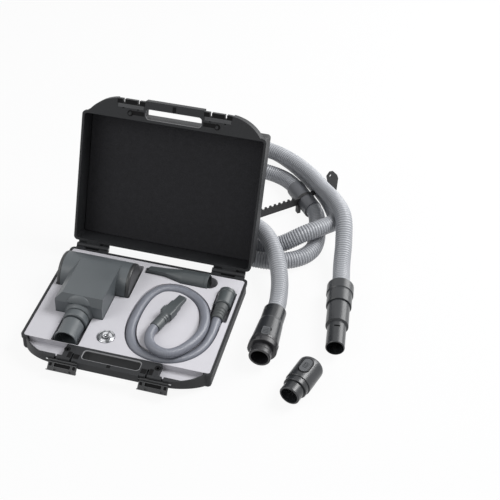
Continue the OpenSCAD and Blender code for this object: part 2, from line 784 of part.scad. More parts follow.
module thin_hose_neck() {
    color("#202224") aimed([cuff_x, thin_neck_y, cuff_z], 90)
        lathe([[thin_r + press_fit, 0], [12, 0], [13, 2], [13, 5], [12, 6], [12, 9], [13, 10], [13, 13],
            [12, 14], [12, 17], [13, 18], [13, 21], [12, 22], [12, 25], [13.5, 27],
            [13.5, thin_neck_l - side_fit], [11, thin_neck_l - side_fit], [11, thin_neck_l + 12],
            [8, thin_neck_l + 12], [8, 9], [thin_r + press_fit, 9]]);
}

module thin_hose_cuff() {
    color("#26282a") aimed([cuff_x, cuff_y - cuff_l, cuff_z], 90)
        lathe([[11 + pin_fit, 0], [cuff_r - 3, 0], [cuff_r - 1, 2], [cuff_r - 1, cuff_l - 10],
            [cuff_r, cuff_l - 9], [cuff_r, cuff_l - 1], [cuff_r - 1, cuff_l], [cuff_bore, cuff_l],
            [cuff_bore, 13], [11 + pin_fit, 13]]);
}

module detail_nozzle() {
    tip = detail_l - 24;
    color("#2b2e30") aimed(nozzle_at, nozzle_a) difference() {
        union() {
            lathe([[0, 0], [10.5, 0], [11.2, 1], [11.2, 22], [9, 24], [9, 27], [10.5, 28], [10.5, 31], [9, 32],
                [9, 35], [10.5, 36], [10.5, 39], [9, 40], [9, 46], [0, 46]]);
            hull() {
                slice(44, 22, 18);
                slice(52, detail_w, 20);
                slice(tip - 8, detail_w, 20);
                slice(tip, 24, 14);
            }
            hull() {
                slice(tip, 22, 13);
                slice(detail_l - 1, 21, 9);
            }
        }
        translate([-1, 0, 0]) lathe([[0, 0], [thin_r + 0.2, 0], [thin_r + 0.2, 13], [0, 13]]);
        rod(6.5, 2 * tip - 16);
        hull() {
            slice(56, 18, 9);
            slice(detail_l - 0.5, 17, 5);
        }
    }
}

module metal_disc() {
    color("#c9ccd0") translate([disc_x, disc_y, foam_top - 1.7]) rotate_extrude()
        polygon([[0, 0], [disc_r - 0.6, 0], [disc_r, 0.6], [disc_r, disc_t - 1.4], [disc_r - 0.6, disc_t - 1],
            [disc_r - 2.5, disc_t - 1], [disc_r - 3, disc_t], [0, disc_t]]);
}

module extension_hose() { color("#8d9096") tube(hose_route, hose_r, 10); }

module hose_coupling() {
    color("#26282a") aimed(coupling_at, coupling_a)
        lathe([[hose_r + press_fit, 0], [coupling_r - 1, 0], [coupling_r, 1], [coupling_r, coupling_l - 1],
            [coupling_r - 1, coupling_l], [hose_r + press_fit, coupling_l]]);
}

// A flat shape of distance and height, stood upright above the ground at a heading
module upright(at, heading, t) {
    translate([at[0], at[1], 0]) rotate([90, 0, heading]) translate([0, 0, -t / 2])
        linear_extrude(t) children();
}

// The strap: a ring on the coupling, a toothed bar, a link over the outer coil and an upright tab
module hose_strap() {
    at = coupling_at + 54 * [cos(coupling_a), sin(coupling_a), 0];
    bar_end = 150;
    color("#1b1b1c") difference() {
        union() {
            aimed(at, coupling_a) {
                rod(coupling_r + 1, 8);
                translate([2, -26.5, -20.5]) cube([11, 8, 20]);
            }
            upright(at, 44, 4) {
                translate([-bar_end, 19]) square([bar_end - 10, 18]);
                for (i = [0 : 9]) translate([12.2 * i + 2 - bar_end, 36]) square([5, 6]);
            }
            aimed([at[0], at[1], 36.4], 48) translate([0, -strap_w / 2, 0]) cube([74, strap_w, 2]);
            upright(at, 48, 3) difference() {
                polygon([[72, 38.4], [73, 30], [80, 4], [89, 2], [91, 54], [86, 66], [74, 80], [64, 82],
                    [56, 72], [62, 50]]);
                translate([67, 70]) circle(3.5);
            }
        }
        aimed(at, coupling_a) rod(coupling_r + press_fit, 76);
    }
}

// A press button drawn with its top up, and the pocket it moves in
module button_shape(l, w, r, grow, z0, z1) {
    translate([0, 0, z0]) plate(l + 2 * grow, w + 2 * grow, z1 - z0, r + grow);
}

module locking_sleeve() {
    l = lock_sleeve_l;
    color("#303336") aimed([lock_x, lock_y, lock_z], 270) difference() {
        lathe([[hose_r + slip, 0], [22, 0], [24, 2], [24, 38], [25, 42], [28.3, l - 12], [28.3, l],
            [hose_bore, l], [hose_bore, 22], [hose_r + slip, 22]]);
        translate([lock_button_x, 0, 0]) button_shape(22, 16, 3, slip, hose_bore + 3, 40);
    }
}

module locking_spigot() {
    l = lock_sleeve_l;
    rim = l + lock_collar_l;
    end = rim + lock_spigot_l;
    color("#34373a") aimed([lock_x, lock_y, lock_z], 270)
        lathe([[hose_bore, l], [collar_r - 1, l], [collar_r, l + 1], [collar_r, rim - 1], [collar_r - 1, rim],
            [spigot_r, rim], [spigot_r, end - 12], [spigot_r - 1.5, end - 12], [spigot_r - 1.5, end - 9],
            [spigot_r, end - 9], [spigot_r, end - 1], [spigot_r - 1, end], [hose_bore + 0.5, end],
            [hose_bore, end - 2]]);
}

module spigot_seal() {
    end = lock_sleeve_l + lock_collar_l + lock_spigot_l;
    color("#101112") aimed([lock_x, lock_y, lock_z], 270)
        lathe([[spigot_r - 1.5, end - 12], [spigot_r - 0.1, end - 12], [spigot_r - 0.1, end - 9],
            [spigot_r - 1.5, end - 9]]);
}

module lock_button() {
    color("#46494d") aimed([lock_x, lock_y, lock_z], 270) translate([lock_button_x, 0, 0]) {
        button_shape(22, 16, 3, 0, hose_bore + 6, 29.3);
        for (x = [-6, -2, 2, 6]) translate([x - 0.6, -6, 29.3]) cube([1.2, 12, 0.7]);
    }
}

module stepped_collar() {
    mid = step_l[0];
    end = mid + step_l[1];
    color("#2b2d30") aimed(stepped_at, 270 + stepped_a)
        lathe([[hose_r + slip, 0], [26, 0], [28.5, 2.5], [28.5, mid - 1], [27.5, mid], [26.5, mid + 1],
            [26.5, end - 1], [25.5, end], [21 + press_fit, end], [21 + press_fit, end - 8],
            [hose_bore, end - 8], [hose_bore, 10], [hose_r + slip, 10]]);
}

module stepped_tube() {
    start = step_l[0] + step_l[1];
    step = start + step_l[2];
    end = step + step_l[3];
    color("#313437") aimed(stepped_at, 270 + stepped_a) difference() {
        lathe([[17, start - 8], [21, start - 8], [21, start], [23.5, start], [23.5, step - 2],
            [step_r, step], [step_r, end - 1], [step_r - 0.8, end], [17, end]]);
        translate([step + 15, 0, step_r]) cube([4, 12, 10], center = true);
    }
}

module adapter_body() {
    l = adapter_l;
    color("#2e3134") aimed(adapter_at, 270 - adapter_a) difference() {
        lathe([[hose_bore, 0], [adapter_r - 5, 0], [adapter_r - 2, 1.2], [adapter_r - 0.5, 4], [adapter_r, 8],
            [adapter_r, l - 1], [adapter_r - 1, l], [hose_bore, l]]);
        translate([adapter_l / 2 - 1, 0, 0]) button_shape(36, 18, 8.8, slip, hose_bore + 3, 40);
    }
}

module adapter_spigot() {
    l = adapter_l;
    color("#34373a") aimed(adapter_at, 270 - adapter_a)
        lathe([[hose_bore, l], [adapter_r - 2, l], [adapter_r - 2, l + 11], [adapter_r - 3, l + 12],
            [adapter_spigot_r, l + 12], [adapter_spigot_r, l + 33], [adapter_spigot_r - 1, l + 34],
            [hose_bore, l + 34]]);
}

module adapter_button() {
    color("#46494d") aimed(adapter_at, 270 - adapter_a) translate([adapter_l / 2 - 1, 0, 0]) {
        button_shape(36, 18, 8.8, 0, hose_bore + 6, 27.6);
        for (x = [-6 : 3 : 6]) translate([x - 0.6, -5, 27.6]) cube([1.2, 10, 0.7]);
    }
}

base_shell();
base_foam();
hinge_pins();
latch_pins();
lid_shell();
lid_foam();
latch_left();
latch_right();
brush_housing();
brush_end_cap_left();
brush_end_cap_right();
brush_sole();
sole_screws();
roller_bushes();
turbine_bearings();
drive_belt();
brush_roller();
roller_bristles();
turbine_wheel();
neck_elbow();
neck_ring();
swivel_sleeve();
crevice_nozzle();
thin_hose();
thin_hose_neck();
thin_hose_cuff();
detail_nozzle();
metal_disc();
extension_hose();
hose_coupling();
hose_strap();
locking_sleeve();
locking_spigot();
spigot_seal();
lock_button();
stepped_collar();
stepped_tube();
adapter_body();
adapter_spigot();
adapter_button();
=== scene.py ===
import bpy
import bmesh
import json
import math
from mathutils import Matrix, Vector


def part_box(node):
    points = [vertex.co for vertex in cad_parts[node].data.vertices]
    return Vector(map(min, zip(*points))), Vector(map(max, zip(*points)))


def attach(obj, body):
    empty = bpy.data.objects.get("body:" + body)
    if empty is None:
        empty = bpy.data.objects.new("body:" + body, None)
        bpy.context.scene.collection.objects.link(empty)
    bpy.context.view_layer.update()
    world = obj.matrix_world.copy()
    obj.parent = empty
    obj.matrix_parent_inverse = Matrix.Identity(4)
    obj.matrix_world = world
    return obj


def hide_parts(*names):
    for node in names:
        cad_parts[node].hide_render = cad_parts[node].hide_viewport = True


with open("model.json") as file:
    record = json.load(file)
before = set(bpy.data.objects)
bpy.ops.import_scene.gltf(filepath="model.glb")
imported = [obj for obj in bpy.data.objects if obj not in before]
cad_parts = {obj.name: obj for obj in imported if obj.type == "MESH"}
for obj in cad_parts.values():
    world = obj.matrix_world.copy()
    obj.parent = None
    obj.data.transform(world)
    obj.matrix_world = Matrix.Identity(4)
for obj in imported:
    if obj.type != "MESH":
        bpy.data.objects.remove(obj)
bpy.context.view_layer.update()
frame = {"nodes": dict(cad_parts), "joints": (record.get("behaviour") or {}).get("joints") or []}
nodes = frame["nodes"]

# ---------------------------------------------------------------------------
# Camera: a long lens looking down into the open case from its handle side,
# a little from the right
# ---------------------------------------------------------------------------
camera_data = bpy.data.cameras.new("camera")
camera_data.lens = 80.36
camera_data.sensor_width = 36
camera_data.shift_x = 0.124
camera_data.clip_end = 20
camera = bpy.data.objects.new("camera", camera_data)
camera.location = (0.5774, -1.5904, 1.6143)
camera_aim = Vector((-0.052, 0.5493, -0.2648))
camera.rotation_euler = (camera_aim - camera.location).to_track_quat("-Z", "Y").to_euler()
bpy.context.scene.collection.objects.link(camera)
bpy.context.scene.camera = camera


# ---------------------------------------------------------------------------
# Extension hose: a blow-moulded polyethylene hose with fine rings, light and
# springy. It lies in loose turns behind the lid and its two ends come forward
# past the right side of the case.
# ---------------------------------------------------------------------------
class Wire:
    """A value or colour inside a node tree, so that shader maths reads as written"""

    def __init__(self, graph, socket):
        self.graph = graph
        self.socket = socket

    def maths(self, operation, first, second):
        return self.graph.node("ShaderNodeMath", {"operation": operation}, {0: first, 1: second})

    def __add__(self, other):
        return self.maths("ADD", self, other)

    def __radd__(self, other):
        return self.maths("ADD", other, self)

    def __sub__(self, other):
        return self.maths("SUBTRACT", self, other)

    def __rsub__(self, other):
        return self.maths("SUBTRACT", other, self)

    def __mul__(self, other):
        return self.maths("MULTIPLY", self, other)

    def __rmul__(self, other):
        return self.maths("MULTIPLY", other, self)


class Graph:
    """The node tree of a material or of the world"""

    def __init__(self, tree):
        self.tree = tree

    def plug(self, value, socket):
        if isinstance(value, Wire):
            self.tree.links.new(value.socket, socket)
        else:
            socket.default_value = value

    def node(self, kind, settings=None, sockets=None, output=0):
        """Makes a node: its settings first, then the values or links of its sockets"""
        made = self.tree.nodes.new(kind)
        for key, value in (settings or {}).items():
            setattr(made, key, value)
        for key, value in (sockets or {}).items():
            self.plug(value, made.inputs[key])
        return Wire(self, made.outputs[output])


class Finish(Graph):
    """One procedural material. Places are the piece's own, in metres, so the grain moves with it."""

    def __init__(self, name, metallic=0.0, coat=0.0, specular=0.5):
        self.material = bpy.data.materials.new(name)
        self.material.use_nodes = True
        super().__init__(self.material.node_tree)
        self.shader = self.tree.nodes["Principled BSDF"]
        self.shader.inputs["Metallic"].default_value = metallic
        self.shader.inputs["Coat Weight"].default_value = coat
        self.shader.inputs["Coat Roughness"].default_value = 0.25
        self.shader.inputs["Specular IOR Level"].default_value = specular
        self.place = self.node("ShaderNodeTexCoord", output="Object")

    def speckle(self, size, detail=2.0, roughness=0.5, place=None):
        """Soft noise from 0 to 1 whose grains are about size metres across"""
        return self.node("ShaderNodeTexNoise", {}, {
            "Vector": place or self.place, "Scale": 1.0 / size, "Detail": detail,
            "Roughness": roughness})

    def cells(self, size):
        """Distance to the nearest cell centre, for the pores of a foam"""
        return self.node("ShaderNodeTexVoronoi", {"feature": "F1"}, {
            "Vector": self.place, "Scale": 1.0 / size})

    def spread(self, wire, low, high, new_low=0.0, new_high=1.0):
        """Maps low..high to new_low..new_high and clamps it"""
        return self.node("ShaderNodeMapRange", {"clamp": True}, {
            "Value": wire, "From Min": low, "From Max": high, "To Min": new_low, "To Max": new_high})

    def blend(self, share, first, second):
        """Colour first where share is 0 and colour second where it is 1"""
        return self.node("ShaderNodeMix", {"data_type": "RGBA"}, {0: share, 6: first, 7: second}, 2)

    def drawn(self, name):
        """A value painted on the mesh under that name"""
        return self.node("ShaderNodeAttribute", {"attribute_name": name}, output=2)

    def height(self, wire, depth, below=None):
        """Bump of that depth in metres, added to an earlier one"""
        sockets = {"Strength": 1.0, "Distance": depth, "Height": wire}
        if below is not None:
            sockets["Normal"] = below
        return self.node("ShaderNodeBump", {}, sockets)

    def surface(self, colour, rough, normal=None):
        self.plug(colour, self.shader.inputs["Base Color"])
        self.plug(rough, self.shader.inputs["Roughness"])
        if normal is not None:
            self.plug(normal, self.shader.inputs["Normal"])
        return self.material


def tone(red, green, blue):
    """A colour written in 0 to 255 as the eye sees it, as the shader wants it"""
    return tuple(((c / 255 + 0.055) / 1.055) ** 2.4 if c > 10.3 else c / 3294.6
                 for c in (red, green, blue)) + (1.0,)


def make_piece(name, points, faces, material, smooth=True):
    """A new mesh object, with its points in metres in the frame that all pieces share"""
    mesh = bpy.data.meshes.new(name)
    mesh.from_pydata(points, [], faces)
    mesh.materials.append(material)
    if smooth:
        mesh.shade_smooth()
    else:
        mesh.shade_flat()
    mesh.update()
    made = bpy.data.objects.new(name, mesh)
    bpy.context.scene.collection.objects.link(made)
    return made


def smooth_line(stops, spacing):
    """A smooth curve through the stops, cut into nearly equal steps, and its length"""
    fine, cuts = [], 24
    count = len(stops)
    for i in range(count - 1):
        p0 = stops[i - 1] if i else stops[0] * 2 - stops[1]
        p1, p2 = stops[i], stops[i + 1]
        p3 = stops[i + 2] if i + 2 < count else p2 * 2 - p1
        for k in range(cuts):
            t = k / cuts
            fine.append(0.5 * (2 * p1 + (p2 - p0) * t + (2 * p0 - 5 * p1 + 4 * p2 - p3) * t * t
                               + (3 * p1 - p0 - 3 * p2 + p3) * t ** 3))
    fine.append(stops[-1].copy())
    length = sum((b - a).length for a, b in zip(fine, fine[1:]))
    steps = round(length / spacing)
    line, reached, target = [fine[0]], 0.0, 1
    for a, b in zip(fine, fine[1:]):
        gap = (b - a).length
        while target <= steps and target * length / steps <= reached + gap + 1e-9:
            line.append(a.lerp(b, (target * length / steps - reached) / gap))
            target += 1
        reached += gap
    return line, length


def skin(loops, around, closed=False):
    """The faces between loops of points; closed joins the last loop to the first"""
    return [(j * around + i, j * around + (i + 1) % around,
             (j + 1) % loops * around + (i + 1) % around, (j + 1) % loops * around + i)
            for j in range(loops if closed else loops - 1) for i in range(around)]


def ringed_hose(name, line, radii, sides, material):
    """A tube round a line, with its radius at each point. What is painted as ridge is 1 on the
    crests of its rings and 0 in the grooves between them."""
    points = []
    heading = (line[1] - line[0]).normalized()
    side = heading.cross(Vector((0, 0, 1))).normalized()
    for i, (place, radius) in enumerate(zip(line, radii)):
        ahead = line[min(i + 1, len(line) - 1)] - line[max(i - 1, 0)]
        ahead.normalize()
        side = (side - ahead * side.dot(ahead)).normalized()
        up = ahead.cross(side)
        for k in range(sides):
            angle = math.tau * k / sides
            points.append(place + (side * math.cos(angle) + up * math.sin(angle)) * radius)
    faces = skin(len(line), sides)
    faces.append(tuple(range(sides - 1, -1, -1)))
    faces.append(tuple(range((len(line) - 1) * sides, len(line) * sides)))
    made = make_piece(name, points, faces, material)
    widest, narrowest = max(radii), min(radii)
    ridge = made.data.attributes.new("ridge", "FLOAT", "POINT")
    ridge.data.foreach_set("value", [(radii[i // sides] - narrowest) / (widest - narrowest)
                                     for i in range(len(points))])
    return made


def turn(centre, radius, start, stop, low, high):
    """Part of a loose turn of hose, from one angle to another, rising or falling evenly"""
    widest_step = 24
    count = math.ceil(abs(stop - start) / widest_step)
    angles = [math.radians(start + (stop - start) * i / count) for i in range(count + 1)]
    return [(centre[0] + radius * math.cos(a), centre[1] + radius * math.sin(a),
             low + (high - low) * i / count) for i, a in enumerate(angles)]


hose_stops = [Vector(p) / 1000 for p in (
    [(275.5, 64, 31.5), (275.5, 80, 31.5), (274, 110, 32), (266, 156, 40), (251, 200, 53), (230, 240, 63),
     (202, 278, 65), (166, 310, 58), (122, 338, 50)]
    + turn((54, 516), 150, 262, 214, 46, 60) + turn((54, 516), 150, 196, 155, 64, 61)
    + [(-68, 603, 58), (-46, 629, 52), (-14, 651, 36), (20, 664, 23), (62, 667, 19), (106, 660, 19),
       (156, 640, 19), (208, 602, 19), (256, 554, 19), (298, 504, 19), (328, 450, 21), (340, 396, 38),
       (325, 344, 60), (286, 306, 59), (236, 284, 34), (184, 280, 19)]
    + turn((70, 428), 148, 270, 68, 19, 19)
    + [(180, 551, 19), (216.5, 522.4, 22.5), (253.5, 475.7, 22.5), (289.2, 430.7, 22.5), (303, 380, 20),
       (310, 340, 19), (306, 300, 19), (282, 266, 19), (234, 242, 19), (178, 238, 19)]
    + turn((64, 426), 188, 270, 114, 19, 19)
    + [(40, 615, 24), (96, 614, 44), (152, 598, 54), (206, 568, 56), (254, 526, 58), (296, 472, 64),
       (332, 414, 80), (361, 362, 80), (374, 308, 56), (381, 256, 35), (388, 214, 28.5),
       (391.7, 184, 28.5)])]
hose_ring = 0.0056
hose_radius = 0.0187
hose_groove = 0.0014
ring_profile = (1.0, 1.0, 0.72, 0.08, 0.08, 0.72)
ring_steps = len(ring_profile)
lowest_middle = hose_radius + 0.0002
hose_line, hose_length = smooth_line(hose_stops, hose_ring / ring_steps)
hose_line = [Vector((spot.x, spot.y, max(spot.z, lowest_middle))) for spot in hose_line]
hose_radii = [hose_radius - hose_groove * (1 - ring_profile[i % ring_steps])
              for i in range(len(hose_line))]

hose_plastic = Finish("hose_plastic", coat=0.12)
ridge = hose_plastic.drawn("ridge")
cloud = hose_plastic.speckle(0.05, 3)
dust = hose_plastic.speckle(0.0012, 3, 0.7)
hose_colour = hose_plastic.blend(cloud, tone(156, 159, 164), tone(168, 170, 175))
# The grooves between the rings are painted darker: painted shade in the grooves, not a colour of the
# plastic
hose_colour = hose_plastic.blend(0.55 - ridge * 0.55, hose_colour, tone(88, 90, 96))
hose_dust = hose_plastic.spread(dust, 0.62, 0.8, 0, 0.25)
hose_colour = hose_plastic.blend(hose_dust, hose_colour, tone(176, 177, 180))
hose_skin = hose_plastic.surface(hose_colour, hose_plastic.spread(cloud, 0.3, 0.7, 0.36, 0.5),
                                 hose_plastic.height(dust, 0.00008))
extension_hose = ringed_hose("corrugated_extension_hose", hose_line, hose_radii, 28, hose_skin)
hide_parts("extension_hose")
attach(extension_hose, "case_and_hose")
hose_line[::12] + [hose_line[-1]]

# ---------------------------------------------------------------------------
# Thin detail hose: soft lavender grey vinyl with a fine ring, one and a
# quarter turns pressed into its channel in the foam
# ---------------------------------------------------------------------------
thin_stops = [Vector(p) / 1000 for p in (
    (58.49, -53.81, 48.5), (54, -68, 48.5), (54, -85, 48), (61, -104, 50), (78, -120, 52), (102, -125, 52),
    (123, -111, 51), (140, -84, 50), (149, -52, 46), (149, -16, 41), (141, 18, 37), (126, 46, 34),
    (104, 66, 32), (77, 78, 31.5), (50, 78, 31.5), (28, 67, 31.5), (13, 42, 31.5), (6, 10, 31.5),
    (4, -24, 31.5), (6, -56, 31.5), (15, -86, 31.5), (33, -111, 31.5), (60, -124, 31.5), (92, -127, 31.5),
    (122, -118, 31.5), (146, -98, 31.5), (161, -70, 31.5), (167, -38, 32), (168, -8, 34), (168, 18, 36))]
thin_ring = 0.0024
thin_radius = 0.0101
thin_groove = 0.00045
thin_steps = 4
thin_line, thin_length = smooth_line(thin_stops, thin_ring / thin_steps)
thin_radii = [thin_radius - thin_groove * (0.5 - 0.5 * math.cos(math.tau * i / thin_steps))
              for i in range(len(thin_line))]

thin_vinyl = Finish("thin_hose_plastic", coat=0.25)
thin_cloud = thin_vinyl.speckle(0.03, 3)
thin_colour = thin_vinyl.blend(thin_cloud, tone(114, 117, 127), tone(129, 132, 141))
# The grooves between the rings are painted darker: painted shade in the grooves, not a colour of the vinyl
thin_colour = thin_vinyl.blend(0.4 - thin_vinyl.drawn("ridge") * 0.4, thin_colour, tone(82, 85, 95))
thin_skin = thin_vinyl.surface(thin_colour, thin_vinyl.spread(thin_cloud, 0.3, 0.7, 0.34, 0.46),
                               thin_vinyl.height(thin_vinyl.speckle(0.0008, 2), 0.00004))
detail_hose = ringed_hose("thin_detail_hose", thin_line, thin_radii, 22, thin_skin)
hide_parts("thin_hose")
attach(detail_hose, "detail_hose")


# ---------------------------------------------------------------------------
# Carry case: two blow-moulded polypropylene halves in graphite, with a fine
# spark-eroded grain. The lid swings on two steel pins at the back.
# ---------------------------------------------------------------------------
def soften(node_name, width, material, angle=28):
    """Gives a CAD node its finish, and rounds its sharp edges as moulding or tumbling does"""
    piece = nodes[node_name]
    piece.data.materials.clear()
    piece.data.materials.append(material)
    if width:
        edge = piece.modifiers.new("edge", "BEVEL")
        edge.width = width
        edge.segments = 2
        edge.limit_method = "ANGLE"
        edge.angle_limit = math.radians(angle)
        edge.use_clamp_overlap = True
        edge.harden_normals = False


def moulded(name, dark, light, grain=0.0006, depth=0.00005, rough=(0.42, 0.58), coat=0.0, scuff=0.25,
            specular=0.5):
    """Moulded plastic: clouded colour, fine grain, and pale scuffs where hands have been"""
    finish = Finish(name, coat=coat, specular=specular)
    cloud = finish.speckle(0.06, 4)
    grit = finish.speckle(grain, 2, 0.6)
    scuffs = finish.spread(finish.speckle(0.011, 6, 0.75), 0.6, 0.74, 0, scuff)
    colour = finish.blend(cloud, tone(*dark), tone(*light))
    colour = finish.blend(scuffs, colour, tone(*[c + (170 - c) * 0.25 for c in light]))
    roughness = finish.spread(cloud, 0.3, 0.7, *rough) + scuffs * 0.2 + (grit - 0.5) * 0.12
    return finish.surface(colour, roughness, finish.height(grit, depth))


case_skin = moulded("case_plastic", (33, 34, 36), (42, 43, 45), 0.0007, 0.00012, (0.48, 0.62),
                    specular=0.3)
for name in ("base_shell", "lid_shell"):
    soften(name, 0.0007, case_skin)

latch_skin = moulded("latch_plastic", (33, 34, 36), (41, 42, 44), 0.0005, 0.00005, (0.38, 0.5))
for name in ("latch_left", "latch_right"):
    soften(name, 0.0004, latch_skin)
joints = {joint["name"]: joint for joint in frame["joints"]}


def pivot(joint_name):
    """The place of a joint, in millimetres"""
    return [1000 * v for v in joints[joint_name]["pos_m"]]


def extent(node_name):
    """The lowest and highest corners of a CAD node, in millimetres"""
    return [[round(1000 * v, 3) for v in corner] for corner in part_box(node_name)]


def middle(node_name):
    """The middle of a CAD node's box, in millimetres"""
    return [(low + high) / 2 for low, high in zip(*extent(node_name))]


def still(point):
    """The move of a piece that is drawn where it rests"""
    return point


def fitted(name, loops, faces, material, body, move, smooth):
    """A piece from loops of points in millimetres, brought into place and riding on a body"""
    points = [Vector(move(p)) / 1000 for loop in loops for p in loop]
    made = make_piece(name, points, faces, material, smooth)
    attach(made, body)
    return made


def solid(name, loops, material, body, move=still, smooth=False):
    """A closed piece through loops of equal length, the first and last of which are its ends"""
    around = len(loops[0])
    ends = [tuple(range(around - 1, -1, -1)),
            tuple(range((len(loops) - 1) * around, len(loops) * around))]
    return fitted(name, loops, ends + skin(len(loops), around), material, body, move, smooth)


def rim(name, loops, material, body, move=still, smooth=False):
    """A closed ring through loops of equal length, whose last loop meets its first"""
    faces = skin(len(loops), len(loops[0]), closed=True)
    return fitted(name, loops, faces, material, body, move, smooth)


def box_of(x0, y0, z0, x1, y1, z1):
    """The two loops of a small block"""
    return [[(x, y, z) for x, y in ((x0, y0), (x1, y0), (x1, y1), (x0, y1))] for z in (z0, z1)]


def rounded(x0, y0, x1, y1, corner, steps=5):
    """The outline of a rounded rectangle"""
    centres = ((x1 - corner, y1 - corner), (x0 + corner, y1 - corner), (x0 + corner, y0 + corner),
               (x1 - corner, y0 + corner))
    return [(x + corner * math.cos(math.radians(90 * k + 90 * i / steps)),
             y + corner * math.sin(math.radians(90 * k + 90 * i / steps)))
            for k, (x, y) in enumerate(centres) for i in range(steps + 1)]


def tipped(pin, angle, x, y, z):
    """A point given from a pin, after swinging about the pin by an angle"""
    return (pin[0] + x, pin[1] + y * math.cos(angle) - z * math.sin(angle),
            pin[2] + y * math.sin(angle) + z * math.cos(angle))


hands = {-1: "left", 1: "right"}
lid_pin = pivot("lid_hinge")
lid_swing = math.radians(joints["lid_hinge"]["range_deg"][0])


def swung(point):
    """From where a part of the lid is when shut to where it is with the lid open"""
    return tipped(lid_pin, lid_swing, *[p - q for p, q in zip(point, lid_pin)])


def bead(name, outline, height, radius, material, body, move=still):
    """A thin round lip along an outline"""
    loops, sides = [], 8
    for k in range(sides):
        angle = math.tau * k / sides
        loops.append([])
        for i, (x, y) in enumerate(outline):
            before, after = Vector(outline[i - 1]), Vector(outline[(i + 1) % len(outline)])
            along = (after - before).normalized()
            out = radius * math.cos(angle)
            loops[-1].append((x + along.y * out, y - along.x * out, height + radius * math.sin(angle)))
    rim(name, loops, material, body, move, True)


# A pale finish far lighter than the case: a painted highlight along the edges of the hand holes, not wear
lip_highlight_skin = moulded("painted_highlight_case_plastic", (112, 112, 114), (132, 132, 135), 0.0007, 0.00006, (0.4, 0.5))
# A near-black finish, far darker than the case, for thin plates and blocks that are painted shade in gaps,
# slots, windows and round buttons
shade_black_skin = moulded("painted_shade_case_plastic", (5, 5, 6), (10, 10, 11), 0.0007, 0.00006, (0.6, 0.7),
                    0.0, 0.05, 0.15)
band_skin = moulded("step_case_plastic", (58, 59, 61), (68, 69, 71), 0.0007, 0.00006, (0.45, 0.55))
# Lips round the hand holes of tray and lid, coloured pale as a painted highlight along their edges
bead("tray_grip_lip", rounded(-60.6, -173.1, 60.6, -147, 8), 36.3, 1.7, lip_highlight_skin, "case_and_hose")
bead("lid_grip_lip", rounded(-61, -169.5, 61, -146.6, 8), 39.9, 1.2, lip_highlight_skin, "lid", swung)

# The near-black block across the middle of each handle bar, painted shade for the gap of its joint, from
# its profile in y and z
joint_half = 3.8
for name, body, move, profile in (
        ("tray_handle_joint", "case_and_hose", still,
         ((-173.9, 27), (-183.4, 25), (-183.4, 36.9), (-182, 38.15), (-173.9, 38.15))),
        ("lid_handle_joint", "lid", swung,
         ((-169.9, 38.22), (-182, 38.22), (-183.4, 40), (-183.4, 52), (-169.9, 53)))):
    solid(name, [[(x, y, z) for y, z in profile] for x in (-joint_half, joint_half)], shade_black_skin, body,
          move)

# Steps and slots that the moulding tool leaves round the catches and the locating pegs, drawn as thin
# near-black plates: painted shade in them
lid_face = 38.5
tray_face = 38.12
latch_x = pivot("latch_right_hinge")[0]
peg_y = -155
peg_bore, peg_outer = 3.7, 6.6
peg_circle = [(math.cos(math.tau * i / 28), math.sin(math.tau * i / 28)) for i in range(28)]
for side, hand in hands.items():
    for k, (x0, x1) in enumerate(((63.5, 75.3), (80.7, 107.3), (112.7, 124))):
        solid(f"lid_catch_step_{hand}_{k}", box_of(side * x0, -182.6, 38.2, side * x1, -173.2, lid_face),
              shade_black_skin, "lid", swung)
    solid(f"lid_catch_sill_{hand}", box_of(side * 66, -173.2, 38.26, side * 122, -165.2, lid_face),
          band_skin, "lid", swung)
    solid(f"lid_peg_slot_{hand}", box_of(side * 64, -161, 38.26, side * 89.4, -152, lid_face),
          shade_black_skin, "lid", swung)
    for name, body, low, high, move in (("lid_peg_ring", "lid", 38.22, lid_face, swung),
                                        ("tray_peg_ring", "case_and_hose", 37.8, tray_face, still)):
        rim(f"{name}_{hand}", [[(side * latch_x + r * c, peg_y + r * n, z) for c, n in peg_circle]
                               for r, z in ((peg_bore, low), (peg_outer, low),
                                            (peg_outer, high), (peg_bore, high))],
            shade_black_skin, body, move)
    for k, (x0, y0, x1, y1) in enumerate(((64, -176.5, 75.3, -164), (80.7, -176.5, 88.5, -160.5))):
        solid(f"tray_catch_step_{hand}_{k}", box_of(side * x0, y0, 37.7, side * x1, y1, tray_face),
              shade_black_skin, "case_and_hose")

# Hinge leaves: one on the lid behind the knuckles, one on the tray under them
hinge_x = 154
leaf_half = 35.5
leaf_front = 145.6
for side, hand in hands.items():
    left, right = side * hinge_x - leaf_half, side * hinge_x + leaf_half
    solid(f"lid_hinge_leaf_{hand}", box_of(left, leaf_front, 44.1, right, 155.5, 46.1), case_skin, "lid",
          swung)
    solid(f"tray_hinge_leaf_{hand}", box_of(left, leaf_front, 29.6, right, 160.5, 32.1), case_skin,
          "case_and_hose")


def latched(body):
    """Gives the move from a latch's own shut frame, drawn from its pin, to where it hangs open"""
    pin = pivot(f"{body}_hinge")
    swing = -math.radians(joints[f"{body}_hinge"]["range_deg"][0])
    return lambda point: tipped(pin, swing, *point)


